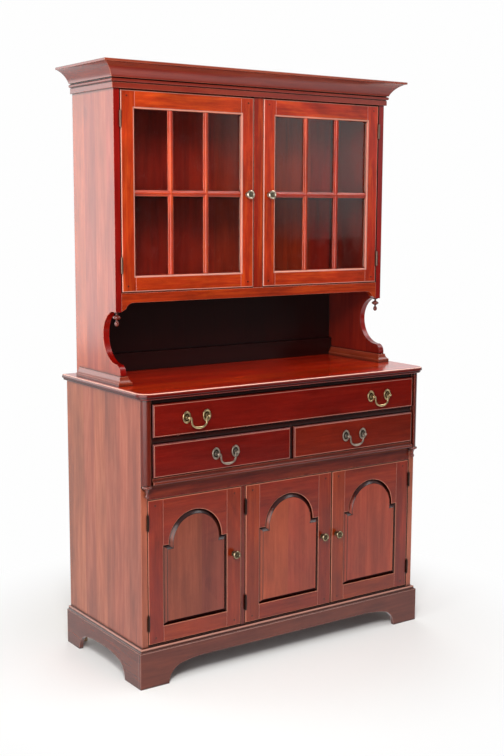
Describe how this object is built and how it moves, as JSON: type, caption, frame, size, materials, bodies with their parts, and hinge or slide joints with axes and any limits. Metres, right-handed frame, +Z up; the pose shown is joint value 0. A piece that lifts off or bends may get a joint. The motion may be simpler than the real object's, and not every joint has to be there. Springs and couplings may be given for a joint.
{
  "type": "step back cupboard",
  "caption": "Two-piece step back cupboard: glazed doors over an open niche, then drawers with bail pulls and arched-panel doors on bracket feet.",
  "frame": {"origin": "on the floor, under the middle of the whole piece with its drawer pulls", "axes": "+X to the right seen from the front, +Y to the back, +Z up"},
  "size_m": [1.244, 0.561, 2],
  "materials": {
    "cherry": "red brown cherry, lacquered, satin to semi-gloss",
    "inner_wood": "unstained inner wood",
    "glass": "clear sheet glass",
    "knob_brass": "polished brass",
    "hinge_brass": "aged brass",
    "dark_hinges": "dark oxidised",
    "pull_brass": "antique brass, rubbed bright",
    "pull_antique": "antique brass, greyish"
  },
  "bodies": {
    "cupboard": {"lower_side_left": "cherry", "lower_side_right": "cherry", "top_board": "cherry", "corner_posts": "cherry", "drawer_rails": "cherry", "drawer_guides": "inner_wood", "lower_face_frame": "cherry", "lower_bottom_board": "cherry", "lower_shelf": "cherry", "lower_back_boards": "inner_wood", "bracket_base": "cherry", "base_blocks": "inner_wood", "upper_side_left": "cherry", "upper_side_right": "cherry", "upper_bottom_board": "cherry", "upper_top_board": "cherry", "upper_shelf": "cherry", "niche_back_rail": "cherry", "upper_face_frame": "cherry", "upper_back_boards": "cherry", "cornice": "cherry", "shoe_mouldings": "cherry", "turned_drops": "cherry", "lower_case_hinges": "dark_hinges", "upper_case_hinges": "hinge_brass"},
    "glass_door_left": {"glass_door_left_frame": "cherry", "glass_door_left_muntins": "cherry", "glass_door_left_panes": "glass", "glass_door_left_knob": "knob_brass", "glass_door_left_hinges": "hinge_brass"},
    "glass_door_right": {"glass_door_right_frame": "cherry", "glass_door_right_muntins": "cherry", "glass_door_right_panes": "glass", "glass_door_right_knob": "knob_brass", "glass_door_right_hinges": "hinge_brass"},
    "lower_door_left": {"lower_door_left_frame": "cherry", "lower_door_left_panel": "cherry", "lower_door_left_knob": "knob_brass", "lower_door_left_hinges": "dark_hinges"},
    "lower_door_middle": {"lower_door_middle_frame": "cherry", "lower_door_middle_panel": "cherry", "lower_door_middle_knob": "knob_brass", "lower_door_middle_hinges": "dark_hinges"},
    "lower_door_right": {"lower_door_right_frame": "cherry", "lower_door_right_panel": "cherry", "lower_door_right_knob": "knob_brass", "lower_door_right_hinges": "dark_hinges"},
    "long_drawer": {"long_drawer_front": "cherry", "long_drawer_box": "inner_wood", "long_drawer_pulls": "pull_brass"},
    "small_drawer_left": {"small_drawer_left_front": "cherry", "small_drawer_left_box": "inner_wood", "small_drawer_left_pulls": "pull_antique"},
    "small_drawer_right": {"small_drawer_right_front": "cherry", "small_drawer_right_box": "inner_wood", "small_drawer_right_pulls": "pull_antique"},
    "long_drawer_bail_left": {"long_drawer_bail_left": "pull_brass"},
    "long_drawer_bail_right": {"long_drawer_bail_right": "pull_brass"},
    "small_drawer_left_bail": {"small_drawer_left_bail": "pull_antique"},
    "small_drawer_right_bail": {"small_drawer_right_bail": "pull_antique"}
  },
  "joints": [
    {"name": "glass_door_left_hinge", "type": "hinge", "parent": "cupboard", "child": "glass_door_left", "pos_m": [-0.5388, -0.05405, 1.59], "axis": [0, 0, -1], "range_deg": [0, 170]},
    {"name": "glass_door_right_hinge", "type": "hinge", "parent": "cupboard", "child": "glass_door_right", "pos_m": [0.5388, -0.05405, 1.59], "axis": [0, 0, 1], "range_deg": [0, 170]},
    {"name": "lower_door_left_hinge", "type": "hinge", "parent": "cupboard", "child": "lower_door_left", "pos_m": [-0.5568, -0.23905, 0.38], "axis": [0, 0, -1], "range_deg": [0, 170]},
    {"name": "lower_door_middle_hinge", "type": "hinge", "parent": "cupboard", "child": "lower_door_middle", "pos_m": [-0.1773, -0.23905, 0.38], "axis": [0, 0, -1], "range_deg": [0, 120]},
    {"name": "lower_door_right_hinge", "type": "hinge", "parent": "cupboard", "child": "lower_door_right", "pos_m": [0.5568, -0.23905, 0.38], "axis": [0, 0, 1], "range_deg": [0, 170]},
    {"name": "long_drawer_slide", "type": "slide", "parent": "cupboard", "child": "long_drawer", "axis": [0, -1, 0], "range_m": [0, 0.36]},
    {"name": "small_drawer_left_slide", "type": "slide", "parent": "cupboard", "child": "small_drawer_left", "axis": [0, -1, 0], "range_m": [0, 0.36]},
    {"name": "small_drawer_right_slide", "type": "slide", "parent": "cupboard", "child": "small_drawer_right", "axis": [0, -1, 0], "range_m": [0, 0.36]},
    {"name": "long_drawer_bail_left_swing", "type": "hinge", "parent": "long_drawer", "child": "long_drawer_bail_left", "pos_m": [-0.385, -0.27575, 0.881], "axis": [-1, 0, 0], "range_deg": [0, 110]},
    {"name": "long_drawer_bail_right_swing", "type": "hinge", "parent": "long_drawer", "child": "long_drawer_bail_right", "pos_m": [0.385, -0.27575, 0.881], "axis": [-1, 0, 0], "range_deg": [0, 110]},
    {"name": "small_drawer_left_bail_swing", "type": "hinge", "parent": "small_drawer_left", "child": "small_drawer_left_bail", "pos_m": [-0.273, -0.27575, 0.75], "axis": [-1, 0, 0], "range_deg": [0, 110]},
    {"name": "small_drawer_right_bail_swing", "type": "hinge", "parent": "small_drawer_right", "child": "small_drawer_right_bail", "pos_m": [0.273, -0.27575, 0.75], "axis": [-1, 0, 0], "range_deg": [0, 110]}
  ]
}
